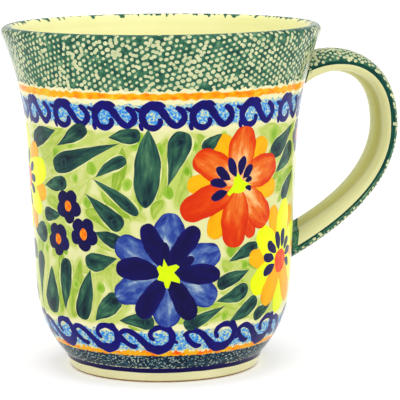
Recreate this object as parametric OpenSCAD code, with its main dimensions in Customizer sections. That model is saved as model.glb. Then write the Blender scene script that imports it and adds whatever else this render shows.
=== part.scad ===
// Stoneware mug: a turned cup with a pulled strap handle, glazed inside and out.
// The frame has +Z up and the handle towards +X. The origin is on the cup's
// axis, at the plane that the foot stands on. Millimetres and degrees.

/* [Cup] */
// Height from the foot to the top of the lip
cup_h = 111; // [106:0.5:118]
// Diameter across the rim
rim_d = 102.6; // [98:0.2:108]
// Diameter where the shoulder meets the wall
waist_d = 82.6; // [79:0.2:86]
// Thickness of the wall with its two coats of glaze
wall_t = 3.8; // [3.2:0.1:4.6]
// Height where the shoulder meets the wall
shoulder_h = 27; // [24:0.5:30]
// Radius of the shoulder below the wall
shoulder_r = 36; // [33:0.5:39]
// Height where the wall begins to flare
flare_h = 72; // [66:1:78]
// Lean of the wall below the flare
wall_lean = 2.7; // [2:0.1:3.5]
// Height of the floor inside the cup
floor_h = 8.2; // [7:0.1:10]
// Radius of the blend between the floor and the wall
floor_blend = 10; // [6:0.5:12]

/* [Foot] */
// Diameter of the foot where it stands
foot_d = 61.4; // [59:0.2:63]
// Height of the neck above the foot
foot_h = 4.8; // [4:0.1:6]
// Flare of the foot's side from the ground to the neck
foot_flare = 1.2; // [0.4:0.1:1.4]
// Width of the ring that touches the ground
foot_ring_w = 4.6; // [3.5:0.1:7]
// Depth of the recess under the cup
recess_h = 2.2; // [1:0.1:3]
// Height of bare clay left above the ground
bare_h = 0.6; // [0.4:0.1:1]

/* [Glaze and slip] */
// Thickness of each coat of glaze
glaze_t = 0.3; // [0.2:0.05:0.5]
// Distance from the cup's glaze to the end of the handle
slip_gap = 0.5; // [0.3:0.1:0.8]
// Width of slip pressed out round the handle's ends
slip_edge = 0.8; // [0.4:0.1:1.2]

/* [Handle] */
// Greatest distance of the handle's middle line from the cup's axis
handle_reach = 79; // [74:0.5:84]
// Width of the strap at its top, middle and bottom
strap_w = [14, 16.4, 16]; // [10:0.2:20]
// Height of the crown on the outer face, top, middle and bottom
crown_h = [5.6, 3.7, 3.8]; // [2:0.1:7]
// Depth of the inner face, top, middle and bottom
belly_h = [3.9, 3.2, 5.8]; // [2:0.1:7]
// Depth of the groove along the inner face
groove_h = 1.2; // [0:0.1:1.6]
// Half the width of the groove, and how far its middle is to one side of the strap's middle
groove_w = 2.6; // [1:0.1:4]
groove_off = -2; // [-4:0.1:4]

/* [Hidden] */

$fn = 96;
arc_steps = 12;
lip_steps = 5;
blend_steps = 6;
strap_steps = 21;
strap_sides = 28;
joint_run = 8;

// A wall that leans by a has the unit vector along(a) up it and out(a) away from it
function along(a) = [sin(a), cos(a)];
function out(a) = [cos(a), -sin(a)];
function steps(a, b, n) = [for (i = [0 : n]) a + (b - a) * i / n];

lip_r = wall_t / 2;
lip_c = [rim_d / 2 - lip_r, cup_h - lip_r];
waist = [waist_d / 2, shoulder_h];
shoulder_c = waist - shoulder_r * out(wall_lean);
neck_lean = asin((shoulder_c[1] - foot_h) / shoulder_r);

// The flare is the arc that leaves the wall smoothly and ends at the lip
flare = waist + (flare_h - shoulder_h) / cos(wall_lean) * along(wall_lean);
chord = lip_c - (flare - lip_r * out(wall_lean));
chord_lean = atan2(chord[0], chord[1]);
rim_lean = 2 * chord_lean - wall_lean;
flare_r = norm(chord) / (2 * sin(chord_lean - wall_lean)) - lip_r;
flare_c = flare + flare_r * out(wall_lean);

// The blend touches the floor and the inside of the shoulder
inner_r = shoulder_r - wall_t;
blend_up = shoulder_c[1] - floor_h - floor_blend;
blend_lean = asin(blend_up / (inner_r - floor_blend));
blend_c = [shoulder_c[0] + (inner_r - floor_blend) * cos(blend_lean), floor_h + floor_blend];

// The side of the cup from a lean on the shoulder to the rim, d outside the glaze
function side(from, d) = concat(
    [for (a = steps(from, wall_lean, arc_steps)) shoulder_c + (shoulder_r + d) * out(a)],
    [for (a = steps(wall_lean, rim_lean, arc_steps)) flare_c - (flare_r - d) * out(a)]
);
// Half of the lip, from the outside (1) or the inside (-1) to its crest
function lip(way, d) = [
    for (k = steps(90, 0, lip_steps)) lip_c + (lip_r + way * d) * out(rim_lean - 90 + way * k)
];
// The outside of the cup from the foot to the crest of the lip
function outside(d) = concat(
    [[foot_d / 2 + d, bare_h], [foot_d / 2 + foot_flare + d, foot_h - 0.8]],
    side(neck_lean, d),
    lip(1, d)
);
// The inside of the cup from the middle of the floor to the crest of the lip
function inside(d) = concat(
    [[0, floor_h - d]],
    [for (a = steps(90, blend_lean, blend_steps)) blend_c + (floor_blend + d) * out(a)],
    side(blend_lean, d - wall_t),
    lip(-1, d)
);
function backwards(pts) = [for (i = [len(pts) - 1 : -1 : 0]) pts[i]];

module turned(pts) {
    rotate_extrude() polygon(pts);
}

module cup_body() {
    ring_in = foot_d / 2 - foot_ring_w;
    color("wheat")
    turned(concat(
        [[0, recess_h], [ring_in - 1, recess_h], [ring_in, 0.4], [ring_in + 0.4, 0],
            [foot_d / 2 - 0.6, 0], [foot_d / 2, bare_h]],
        outside(-glaze_t),
        backwards(inside(glaze_t))
    ));
}

module inner_glaze() {
    color("lemonchiffon")
    turned(concat(inside(0), backwards(inside(glaze_t))));
}

module outer_glaze() {
    color("seagreen")
    difference() {
        turned(concat(outside(0), backwards(outside(-glaze_t))));
        joint_prism(0);
        joint_prism(2);
    }
}

// The strap's middle line is two curves that meet at its furthest point
upper_line = [[48.5, 93], [60.5, 100], [handle_reach, 96.5], [handle_reach, 75]];
lower_line = [[handle_reach, 75], [handle_reach, 60.5], [66.5, 46.5], [41, 34.7]];

function bezier(p, t) =
    pow(1 - t, 3) * p[0] + 3 * pow(1 - t, 2) * t * p[1] + 3 * (1 - t) * t * t * p[2] + pow(t, 3) * p[3];
function heading(p, t) = let(
    v = pow(1 - t, 2) * (p[1] - p[0]) + 2 * (1 - t) * t * (p[2] - p[1]) + t * t * (p[3] - p[2])
) v / norm(v);
function unit(v) = v / norm(v);
// A size given at the top, middle and bottom of the strap, at s from 0 to 2
function blend3(v, s) = s < 1
    ? v[0] + (v[1] - v[0]) * sin(90 * s)
    : v[1] + (v[2] - v[1]) * (1 - cos(90 * (s - 1)));
function line_at(s) = s < 1 ? bezier(upper_line, s) : bezier(lower_line, s - 1);
function head_at(s) = s < 1 ? heading(upper_line, s) : heading(lower_line, s - 1);

// The strap's section: a crown outside, a belly with a groove inside
function section(s, grow) = [
    for (j = [0 : strap_sides - 1])
        let(
            a = 360 * j / strap_sides,
            across = (blend3(strap_w, s) / 2 + grow) * cos(a),
            groove = groove_h * exp(-pow((across - groove_off) / groove_w, 2)),
            up = sin(a) > 0
                ? (blend3(crown_h, s) + grow) * sin(a)
                : (blend3(belly_h, s) + grow) * sin(a) + (grow > 0 ? 0 : groove * abs(sin(a)))
        )
        [across, up]
];
function ring(s, shift) = let(
    h = head_at(s),
    c = line_at(s) + shift * h
) [for (p = section(s, 0)) [c[0] - h[1] * p[1], p[0], c[1] + h[0] * p[1]]];

// A straight prism of the section through an end of the strap, s being 0 or 2
module joint_prism(s) {
    h = head_at(s);
    c = line_at(s);
    translate([c[0], 0, c[1]])
    rotate([0, atan2(h[0], h[1]), 0])
    rotate([0, 0, 90])
    linear_extrude(3 * joint_run, center = true)
    polygon(section(s, slip_edge));
}

module handle() {
    rings = concat(
        [ring(0, -joint_run)],
        [for (s = steps(0, 2, 2 * strap_steps)) ring(s, 0)],
        [ring(2, joint_run)]
    );
    n = strap_sides;
    last = (len(rings) - 1) * n;
    color("honeydew")
    difference() {
        polyhedron(
            points = [for (r = rings) for (p = r) p],
            faces = concat(
                [[for (j = [0 : n - 1]) j]],
                [for (i = [0 : len(rings) - 2]) for (j = [0 : n - 1]) let(k = (j + 1) % n)
                    each [[i * n + j, (i + 1) * n + j, (i + 1) * n + k],
                        [i * n + j, (i + 1) * n + k, i * n + k]]],
                [[for (j = [n - 1 : -1 : 0]) last + j]]
            )
        );
        turned(concat([[0, foot_h]], side(neck_lean, slip_gap), [[0, cup_h]]));
    }
}

// The slip fills the gap between the cup's clay and one end of the strap
module joint_slip(s) {
    color("darkseagreen")
    intersection() {
        turned(concat(side(neck_lean, slip_gap), backwards(side(neck_lean, -glaze_t))));
        joint_prism(s);
    }
}
module upper_joint_slip() { joint_slip(0); }
module lower_joint_slip() { joint_slip(2); }

cup_body();
inner_glaze();
outer_glaze();
handle();
upper_joint_slip();
lower_joint_slip();
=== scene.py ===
# Painted stoneware mug: the glazed cup, the strap handle and all the brushwork.
# Sizes are in millimetres and degrees; toMesh turns them into metres.
import math

import bmesh
import bpy
import numpy as np
from mathutils import Matrix, Vector, noise


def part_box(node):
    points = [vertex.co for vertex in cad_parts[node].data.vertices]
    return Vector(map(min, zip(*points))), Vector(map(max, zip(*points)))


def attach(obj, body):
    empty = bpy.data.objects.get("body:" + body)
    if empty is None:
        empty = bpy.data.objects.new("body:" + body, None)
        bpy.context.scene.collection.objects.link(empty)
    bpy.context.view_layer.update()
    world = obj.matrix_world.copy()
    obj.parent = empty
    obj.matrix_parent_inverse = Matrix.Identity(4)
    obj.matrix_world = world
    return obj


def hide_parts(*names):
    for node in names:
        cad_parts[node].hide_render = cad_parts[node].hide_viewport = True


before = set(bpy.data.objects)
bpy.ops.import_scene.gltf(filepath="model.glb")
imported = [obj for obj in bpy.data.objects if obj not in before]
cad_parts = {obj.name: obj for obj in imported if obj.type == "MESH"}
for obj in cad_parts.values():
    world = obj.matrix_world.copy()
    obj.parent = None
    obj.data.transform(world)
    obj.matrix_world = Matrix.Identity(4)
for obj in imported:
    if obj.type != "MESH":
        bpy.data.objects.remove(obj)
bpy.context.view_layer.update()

mm = 0.001
rng = np.random.default_rng(7)

# The cup's outline is the CAD model's: a foot, a shoulder arc, a straight wall, a flare and a round lip.
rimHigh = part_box("outer_glaze")[1]
cup = {
    "height": rimHigh[2] / mm,
    "rimRadius": rimHigh[1] / mm,
    "waistRadius": 41.3,
    "shoulderHeight": 27.0,
    "shoulderRadius": 36.0,
    "flareHeight": 72.0,
    "wallLean": 2.7,
    "wall": 3.8,
    "floorHeight": 8.2,
    "floorBlend": 10.0,
    "footRadius": 30.7,
    "footHeight": 4.8,
    "footFlare": 1.2,
    "neckDrop": 0.8,
    "footRing": 4.6,
    "recess": 2.2,
    "bare": 0.6,
    "glaze": 0.3,
}


def out(lean):  # unit vector away from a wall that leans by an angle, as (radius, height)
    a = math.radians(lean)
    return np.array([math.cos(a), -math.sin(a)])


def up(lean):  # unit vector up the same wall
    a = math.radians(lean)
    return np.array([math.sin(a), math.cos(a)])


lipRadius = cup["wall"] / 2
lipCentre = np.array([cup["rimRadius"] - lipRadius, cup["height"] - lipRadius])
waist = np.array([cup["waistRadius"], cup["shoulderHeight"]])
shoulderCentre = waist - cup["shoulderRadius"] * out(cup["wallLean"])
neckLean = math.degrees(math.asin((shoulderCentre[1] - cup["footHeight"]) / cup["shoulderRadius"]))
wallRun = (cup["flareHeight"] - cup["shoulderHeight"]) / math.cos(math.radians(cup["wallLean"]))
flareStart = waist + wallRun * up(cup["wallLean"])
chord = lipCentre - (flareStart - lipRadius * out(cup["wallLean"]))
chordLean = math.degrees(math.atan2(chord[0], chord[1]))
rimLean = 2 * chordLean - cup["wallLean"]
halfTurn = math.radians(chordLean - cup["wallLean"])
flareRadius = np.linalg.norm(chord) / (2 * math.sin(halfTurn)) - lipRadius
flareCentre = flareStart + flareRadius * out(cup["wallLean"])


def sideLine(fromLean, away, shoulderSteps, wallSteps, flareSteps):
    pts = [shoulderCentre + (cup["shoulderRadius"] + away) * out(a)
           for a in np.linspace(fromLean, cup["wallLean"], shoulderSteps)]
    start, end = pts[-1], flareCentre - (flareRadius - away) * out(cup["wallLean"])
    pts += [start + (end - start) * t for t in np.linspace(0, 1, wallSteps)[1:-1]]
    pts += [flareCentre - (flareRadius - away) * out(a)
            for a in np.linspace(cup["wallLean"], rimLean, flareSteps)]
    return pts


def lipLine(way, away, steps):  # way is 1 from the outside to the crest, -1 from the inside
    return [lipCentre + (lipRadius + way * away) * out(rimLean - 90 + way * k)
            for k in np.linspace(90, 0, steps)[1:]]


# How many points each stretch of the outline gets, where it is seen (True) and where it is hidden.
lipSteps = {True: 14, False: 5}
outsideSteps = {True: (44, 60, 52), False: (10, 6, 10)}  # shoulder, wall, flare
insideSteps = {True: (24, 24, 30, 26), False: (6, 8, 6, 8)}  # blend, shoulder, wall, flare


def outsideLine(away, fine):
    foot = [np.array([cup["footRadius"] + away, cup["bare"]]),
            np.array([cup["footRadius"] + cup["footFlare"] + away, cup["footHeight"] - cup["neckDrop"]])]
    return foot + sideLine(neckLean, away, *outsideSteps[fine]) + lipLine(1, away, lipSteps[fine])


def insideLine(away, fine):
    blendSteps, *sideSteps = insideSteps[fine]
    innerRadius = cup["shoulderRadius"] - cup["wall"]
    rise = shoulderCentre[1] - cup["floorHeight"] - cup["floorBlend"]
    blendLean = math.degrees(math.asin(rise / (innerRadius - cup["floorBlend"])))
    reach = (innerRadius - cup["floorBlend"]) * math.cos(math.radians(blendLean))
    centre = np.array([shoulderCentre[0] + reach, cup["floorHeight"] + cup["floorBlend"]])
    pts = [np.array([0.0, cup["floorHeight"] - away])]
    pts += [centre + (cup["floorBlend"] + away) * out(a) for a in np.linspace(90, blendLean, blendSteps)]
    pts += sideLine(blendLean, away - cup["wall"], *sideSteps)[1:]
    return pts + lipLine(-1, away, lipSteps[fine])


def wallAt(z):  # radius of the outer glaze at a height, and the lean of the wall there
    footTop = cup["footHeight"] - cup["neckDrop"]
    if z < footTop:
        lean = math.degrees(math.atan2(cup["footFlare"], footTop - cup["bare"]))
        return cup["footRadius"] + cup["footFlare"] * (z - cup["bare"]) / (footTop - cup["bare"]), lean
    if z < cup["footHeight"]:
        neck = shoulderCentre[0] + cup["shoulderRadius"] * math.cos(math.radians(neckLean))
        foot = cup["footRadius"] + cup["footFlare"]
        return foot + (neck - foot) * (z - footTop) / cup["neckDrop"], neckLean
    if z < waist[1]:
        drop = shoulderCentre[1] - z
        lean = math.degrees(math.asin(drop / cup["shoulderRadius"]))
        return shoulderCentre[0] + math.sqrt(cup["shoulderRadius"] ** 2 - drop ** 2), lean
    if z < flareStart[1]:
        return waist[0] + (z - waist[1]) * math.tan(math.radians(cup["wallLean"])), cup["wallLean"]
    rise = z - flareCentre[1]
    lean = math.degrees(math.asin(rise / flareRadius))
    return flareCentre[0] - math.sqrt(flareRadius ** 2 - rise ** 2), lean


# Brushwork is placed by a turn in degrees round the cup, from the middle of the painted scene and positive
# to the right, and by a height. Laid flat, one degree is flatScale millimetres.
paintTurn = -110.0
flatScale = 0.75


def wallPoint(turn, z, lift):
    r, lean = wallAt(z)
    n = out(lean)
    a = math.radians(paintTurn + turn)
    return ((r + lift * n[0]) * math.cos(a), (r + lift * n[0]) * math.sin(a), z + lift * n[1])


# Above rimFrom the same place is found along the outline, so that paint can go over the lip.
rimFrom = 92.0
rimTrack = [p for p in outsideLine(0, True) if p[1] > rimFrom] + lipLine(-1, 0, lipSteps[True])[::-1]
rimTrack.append(insideLine(0, True)[-lipSteps[True] - 1])  # the next point down the inside
rimTrack = np.array([np.array([wallAt(rimFrom)[0], rimFrom])] + rimTrack)
rimTrack = rimTrack[np.r_[True, np.linalg.norm(np.diff(rimTrack, axis=0), axis=1) > 1e-4]]
rimRun = rimFrom + np.r_[0, np.cumsum(np.linalg.norm(np.diff(rimTrack, axis=0), axis=1))]
rimAim = np.gradient(rimTrack, rimRun, axis=0)
rimAim /= np.linalg.norm(rimAim, axis=1)[:, None]
crest = rimRun[np.argmax(rimTrack[:, 1])]


def rimPoint(turn, q, lift):
    r, z = (np.interp(q, rimRun, rimTrack[:, k]) for k in (0, 1))
    ar, az = (np.interp(q, rimRun, rimAim[:, k]) for k in (0, 1))
    a = math.radians(paintTurn + turn)
    return ((r + lift * az) * math.cos(a), (r + lift * az) * math.sin(a), z - lift * ar)


# Meshes are gathered as points, faces and three values for the paint: along a stroke, across it, and tone.
paintDepth = 0.02  # how far into the glaze the back of a stroke lies
sharpFrom = 50  # edges that bend more than this many degrees stay sharp


def even(rows):
    return np.linspace(0, 1, rows + 1)


def startSheet():
    return {"points": [], "faces": [], "along": [], "across": [], "tone": []}


def addGrid(sheet, grid, along, across, tone, wrapRows=False, wrapColumns=False):
    rows, columns = len(grid), len(grid[0])
    first = len(sheet["points"])
    for i in range(rows):
        sheet["points"] += grid[i]
        sheet["along"] += [along[i]] * columns
        sheet["across"] += list(across)
        sheet["tone"] += [tone] * columns
    for i in range(rows if wrapRows else rows - 1):
        for j in range(columns if wrapColumns else columns - 1):
            k, m = (i + 1) % rows, (j + 1) % columns
            sheet["faces"].append([first + i * columns + j, first + k * columns + j,
                                   first + k * columns + m, first + i * columns + m])


def addShell(sheet, place, rows, lift, along, across, tone, wrapRows=False):
    # a thin closed layer of paint: rows of (turn, height), its face at lift and its back inside the glaze
    front = [[place(t, z, lift) for t, z in row] for row in rows]
    back = [[place(t, z, -paintDepth) for t, z in row] for row in rows]
    closed = [f + b[::-1] for f, b in zip(front, back)]
    first = len(sheet["points"])
    addGrid(sheet, closed, along, list(across) + list(across)[::-1], tone, wrapRows, True)
    if not wrapRows:
        n = len(closed[0])
        for base in (first, first + (len(closed) - 1) * n):  # close both ends
            for j in range(n // 2 - 1):
                sheet["faces"].append([base + j, base + j + 1, base + n - 2 - j, base + n - 1 - j])


def toMesh(name, points, faces, values=None):
    mesh = bpy.data.meshes.new(name)
    mesh.from_pydata([tuple(float(c) * mm for c in p) for p in points], [], faces)
    for key, data in (values or {}).items():
        layer = mesh.attributes.new(key, "FLOAT", "POINT")
        layer.data.foreach_set("value", np.asarray(data, dtype=np.float32))
    bm = bmesh.new()
    bm.from_mesh(mesh)
    bmesh.ops.recalc_face_normals(bm, faces=bm.faces)
    bm.to_mesh(mesh)
    bm.free()
    mesh.shade_smooth()
    mesh.set_sharp_from_angle(angle=math.radians(sharpFrom))
    return mesh


def toPiece(name, mesh, material, replaces=()):
    piece = bpy.data.objects.new(name, mesh)
    bpy.context.scene.collection.objects.link(piece)
    mesh.materials.clear()
    mesh.materials.append(material)
    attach(piece, "root")
    if replaces:
        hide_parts(*replaces)


def sheetPiece(name, sheet, paint, replaces=()):
    values = {key: sheet[key] for key in ("along", "across", "tone")}
    toPiece(name, toMesh(name, sheet["points"], sheet["faces"], values), paints[paint], replaces)


def spin(line, turns=360):  # a closed outline of (radius, height) turned about the axis
    points, faces, rows = [], [], []
    for r, z in line:
        if r < 1e-6:
            rows.append([len(points)] * turns)
            points.append((0.0, 0.0, z))
            continue
        rows.append(list(range(len(points), len(points) + turns)))
        points += [(r * math.cos(2 * math.pi * k / turns), r * math.sin(2 * math.pi * k / turns), z)
                   for k in range(turns)]
    for low, high in zip(rows, rows[1:] + rows[:1]):
        for k in range(turns):
            n = (k + 1) % turns
            face = [low[k], low[n], high[n], high[k]]
            face = [v for i, v in enumerate(face) if v != face[i - 1]]
            if len(face) > 2:
                faces.append(face)
    return points, faces


# Glazes and paints. Colours are given as 0 to 255 and made linear for the shader.
def linear(colour):
    return tuple(c / 12.92 if c <= 0.04045 else ((c + 0.055) / 1.055) ** 2.4
                 for c in (v / 255 for v in colour)) + (1.0,)


def fill(tree, socket, given):  # joins a socket to another, or sets its value
    if isinstance(given, bpy.types.NodeSocket):
        tree.links.new(given, socket)
    else:
        socket.default_value = given


def addNode(tree, kind, inputs=None, **settings):
    made = tree.nodes.new(kind)
    for key, setting in settings.items():
        setattr(made, key, setting)
    for key, given in (inputs or {}).items():
        fill(tree, made.inputs[key], given)
    return made


def calc(tree, operation, *values, clamp=False):
    given = dict(enumerate(values))
    return addNode(tree, "ShaderNodeMath", given, operation=operation, use_clamp=clamp).outputs[0]


def times(tree, a, b, clamp=False):
    return calc(tree, "MULTIPLY", a, b, clamp=clamp)


def mixed(tree, amount, a, b):
    made = addNode(tree, "ShaderNodeMix", {0: amount}, data_type="RGBA")
    for index, colour in ((6, a), (7, b)):
        fill(tree, made.inputs[index], linear(colour) if isinstance(colour, tuple) else colour)
    return made.outputs[2]


def ramp(tree, amount, stops):
    made = addNode(tree, "ShaderNodeValToRGB", {0: amount})
    elements = made.color_ramp.elements
    while len(elements) < len(stops):
        elements.new(0.5)
    for element, (place, colour) in zip(elements, stops):
        element.position = place
        element.color = linear(colour)
    return made.outputs[0]


def onObject(tree):
    return addNode(tree, "ShaderNodeTexCoord").outputs["Object"]


def grain(tree, scale, detail=2.0, vector=None, rough=0.5):
    given = {"Vector": vector or onObject(tree), "Scale": scale, "Detail": detail, "Roughness": rough}
    return addNode(tree, "ShaderNodeTexNoise", given).outputs[0]


def meshValue(tree, name):
    return addNode(tree, "ShaderNodeAttribute", attribute_name=name).outputs["Fac"]


def combine(tree, *parts):
    return addNode(tree, "ShaderNodeCombineXYZ", dict(enumerate(parts))).outputs[0]


def bump(tree, height, strength, depth, under=None):
    given = {"Height": height, "Strength": strength, "Distance": depth}
    if under is not None:
        given["Normal"] = under
    return addNode(tree, "ShaderNodeBump", given).outputs[0]


def bumpMore(tree, skin, height, strength, depth):  # over the relief that the coat has already
    under = skin.inputs["Normal"].links[0].from_socket
    tree.links.new(bump(tree, height, strength, depth, under), skin.inputs["Normal"])


# Every paint lies under the same clear fired coat: uneven gloss, slow ripples and a fine skin.
clearCoat = {
    "shine": 0.09,
    "gloss": (0.06, 0.14),
    "glossScale": 90.0,
    "ripple": 0.15,
    "rippleScale": 45.0,
    "rippleDepth": 0.0006,
    "skin": 0.08,
    "skinScale": 900.0,
    "skinDepth": 0.00003,
}


def glaze(name, ripple=clearCoat["ripple"]):
    mat = bpy.data.materials.new(name)
    mat.use_nodes = True
    tree = mat.node_tree
    skin = tree.nodes["Principled BSDF"]
    skin.inputs["Specular IOR Level"].default_value = clearCoat["shine"]
    low, high = clearCoat["gloss"]
    patch = grain(tree, clearCoat["glossScale"], 3.0)
    uneven = addNode(tree, "ShaderNodeMapRange", {0: patch, 1: 0.3, 2: 0.7, 3: low, 4: high})
    tree.links.new(uneven.outputs[0], skin.inputs["Roughness"])
    slow = bump(tree, grain(tree, clearCoat["rippleScale"], 1.0), ripple, clearCoat["rippleDepth"])
    fine = bump(tree, grain(tree, clearCoat["skinScale"]), clearCoat["skin"], clearCoat["skinDepth"], slow)
    tree.links.new(fine, skin.inputs["Normal"])
    return mat, tree, skin


def fromMiddle(tree, side, sharpness):  # -1 to 1 across a stroke, and how near its edges that is
    centred = calc(tree, "MULTIPLY_ADD", side, 2.0, -1.0)
    return centred, calc(tree, "POWER", calc(tree, "ABSOLUTE", centred), sharpness)


# Colour gathers in a bead near the end where the brush was set down: its place, and how tight it is each way.
bead = {"place": 0.2, "along": 6.5, "across": 1.7}


def brushPaint(name, stops, start=0.3, along=0.0, edge=0.0, streak=0.3, tone=0.2, pool=0.0, water=(1.6, 5.0)):
    # thin colour that is deep where it pools and pale where the brush was dry
    mat, tree, skin = glaze(name)
    run, side, own = (meshValue(tree, key) for key in ("along", "across", "tone"))
    centred, nearEdge = fromMiddle(tree, side, 4.0)
    lane = combine(tree, times(tree, run, water[0]), times(tree, side, water[1]), times(tree, own, 40.0))
    streaks = calc(tree, "SUBTRACT", grain(tree, 1.0, 3.0, lane, 0.6), 0.5)
    parts = [(run, along), (nearEdge, edge), (streaks, streak * 3), (calc(tree, "SUBTRACT", own, 0.5), tone)]
    if pool:
        near = times(tree, calc(tree, "SUBTRACT", run, bead["place"]), bead["along"])
        wide = times(tree, centred, bead["across"])
        near, wide = (calc(tree, "POWER", part, 2.0) for part in (near, wide))
        parts.append((calc(tree, "EXPONENT", times(tree, calc(tree, "ADD", near, wide), -1.0)), -pool))
    amount = start
    for part, share in parts:
        amount = calc(tree, "ADD", times(tree, part, share), amount)
    tree.links.new(ramp(tree, calc(tree, "ADD", amount, 0.0, clamp=True), stops), skin.inputs["Base Color"])
    return mat


def patchPaint(name, stops, scale, detail=3.0, fade=0.0):
    # colour dabbed on unevenly, all over a band, and thinner at its two edges
    mat, tree, skin = glaze(name)
    amount = grain(tree, scale, detail, rough=0.6)
    if fade:
        nearEdge = fromMiddle(tree, meshValue(tree, "across"), 5.0)[1]
        amount = calc(tree, "ADD", amount, times(tree, nearEdge, fade))
    tree.links.new(ramp(tree, amount, stops), skin.inputs["Base Color"])
    return mat


# Brush paints. The stops go from thick colour to thin; start is where most of a stroke lies on them, and
# along, edge, streak and tone say how far each moves it. A higher water makes finer streaks along and across.
brushes = {
    "leafGreen": {
        "stops": [(0, (12, 30, 42)), (0.3, (26, 62, 58)), (0.6, (49, 95, 73)), (1, (104, 146, 102))],
        "start": 0.43, "along": 0.06, "edge": -0.12, "streak": 0.5, "tone": 0.12, "pool": 0.32,
        "water": (2.6, 3.0)},
    "navyBlue": {
        "stops": [(0, (8, 4, 46)), (0.4, (12, 6, 72)), (0.75, (16, 10, 96)), (1, (38, 40, 150))],
        "edge": 0.34, "water": (3.0, 3.0)},
    "scrollNavy": {
        "stops": [(0, (10, 4, 70)), (0.4, (14, 6, 104)), (0.8, (18, 14, 130)), (1, (40, 60, 170))],
        "edge": 0.3, "water": (6.0, 2.0)},
    "petalBlue": {
        "stops": [(0, (24, 36, 116)), (0.3, (42, 66, 146)), (0.62, (84, 112, 164)), (1, (176, 194, 198))],
        "start": 0.45, "along": 0.22, "edge": -0.5, "streak": 0.62, "water": (3.2, 3.4)},
    "petalRed": {
        "stops": [(0, (204, 42, 0)), (0.3, (214, 60, 0)), (0.62, (223, 108, 30)), (1, (238, 198, 130))],
        "start": 0.18, "along": 0.68, "edge": -0.6, "streak": 0.4, "tone": 0.6, "water": (2.6, 4.2)},
    "petalAmber": {
        "stops": [(0, (226, 138, 0)), (0.35, (233, 166, 0)), (0.75, (236, 182, 8)), (1, (240, 200, 64))],
        "start": 0.45, "along": 0.1, "edge": -0.2, "water": (2.4, 3.0)},
    "petalYellow": {
        "stops": [(0, (210, 228, 0)), (0.4, (230, 246, 0)), (0.75, (240, 248, 40)), (1, (246, 248, 150))],
        "along": 0.3, "edge": -0.2, "water": (2.4, 3.0)},
    "eyeOrange": {
        "stops": [(0, (206, 34, 6)), (0.4, (232, 74, 10)), (0.75, (240, 120, 6)), (1, (246, 168, 20))],
        "start": 0.4, "along": 0.1, "streak": 0.5, "tone": 0.5, "water": (3.0, 4.0)},
    "starYellow": {
        "stops": [(0, (120, 170, 6)), (0.3, (200, 228, 0)), (1, (222, 244, 10))],
        "start": 0.55},
    "limeWater": {
        "stops": [(0, (130, 164, 42)), (0.35, (162, 185, 72)), (0.65, (184, 197, 100)),
                  (1, (202, 206, 130))],
        "start": 0.56, "along": -0.1, "edge": -0.1, "streak": 0.5, "tone": 0.8, "water": (3.0, 3.0)},
    "haloCream": {
        "stops": [(0, (188, 200, 112)), (1, (220, 219, 160))],
        "start": 0.55, "tone": 0.6, "water": (2.0, 2.0)},
    "leafBead": {
        "stops": [(0, (10, 28, 40)), (0.5, (20, 48, 54)), (1, (36, 76, 68))],
        "start": -0.15, "along": 0.9, "streak": 0.35, "tone": 0.3, "water": (1.2, 2.4)},
    "mossDab": {
        "stops": [(0, (112, 158, 26)), (0.5, (142, 180, 54)), (1, (180, 202, 92))],
        "start": 0.1, "along": 0.5, "streak": 0.45, "tone": 0.5, "water": (1.2, 1.2)},
    "edgeGreen": {
        "stops": [(0, (4, 46, 44)), (0.5, (14, 74, 60)), (1, (80, 134, 96))],
        "streak": 0.4, "water": (12.0, 1.5)},
    "jointGreen": {
        "stops": [(0, (14, 62, 50)), (0.4, (50, 108, 80)), (1, (130, 166, 124))],
        "start": 0.5, "edge": -0.4, "streak": 0.5, "water": (8.0, 2.5)},
}
# Sponged and banded paints. A fade thins the colour at the edges of its band.
patches = {
    "lineOrange": {
        "stops": [(0.3, (242, 114, 0)), (0.44, (236, 144, 0)), (0.56, (234, 166, 4)), (0.72, (226, 190, 50))],
        "scale": 330.0, "detail": 2.0, "fade": 0.12},
    "footOrange": {
        "stops": [(0.3, (246, 80, 4)), (0.38, (240, 124, 0)), (0.48, (238, 158, 0)), (0.7, (228, 184, 40))],
        "scale": 230.0, "detail": 2.0},
    "spongeGreen": {
        "stops": [(0.28, (18, 60, 56)), (0.42, (36, 84, 66)), (0.58, (60, 112, 84)), (0.74, (122, 158, 118))],
        "scale": 460.0},
    "spongeDark": {
        "stops": [(0.3, (6, 24, 40)), (0.5, (14, 40, 58)), (0.68, (44, 80, 94))],
        "scale": 700.0},
    "spongeBlue": {
        "stops": [(0.38, (40, 118, 204)), (0.47, (66, 146, 210)), (0.55, (128, 182, 200)),
                  (0.63, (200, 203, 160))],
        "scale": 1300.0, "detail": 1.5, "fade": 0.18},
    "dotCream": {
        "stops": [(0.3, (180, 188, 142)), (0.55, (200, 203, 158)), (0.75, (216, 217, 170))],
        "scale": 300.0},
    "fleckPale": {
        "stops": [(0.3, (118, 146, 148)), (0.55, (166, 184, 174)), (0.75, (206, 212, 188))],
        "scale": 400.0},
}
paints = {name: brushPaint(name, **brush) for name, brush in brushes.items()}
paints.update({name: patchPaint(name, **patch) for name, patch in patches.items()})


def coatPaint():
    # the outside: cream, with a watery lime ground painted as a value on the mesh
    mat, tree, skin = glaze("outerGlaze")
    cream = ramp(tree, grain(tree, 60.0, 3.0), [(0.3, (222, 217, 166)), (0.7, (233, 228, 181))])
    water = calc(tree, "MULTIPLY_ADD", grain(tree, 220.0, 4.0, rough=0.65), 0.9, 0.42)
    wet = times(tree, meshValue(tree, "wash"), water, clamp=True)
    lime = ramp(tree, wet, [(0.0, (205, 208, 140)), (0.4, (191, 202, 111)), (0.8, (172, 193, 84)),
                            (1.0, (154, 182, 58))])
    tree.links.new(mixed(tree, times(tree, wet, 2.2, clamp=True), cream, lime), skin.inputs["Base Color"])
    return mat


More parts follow.
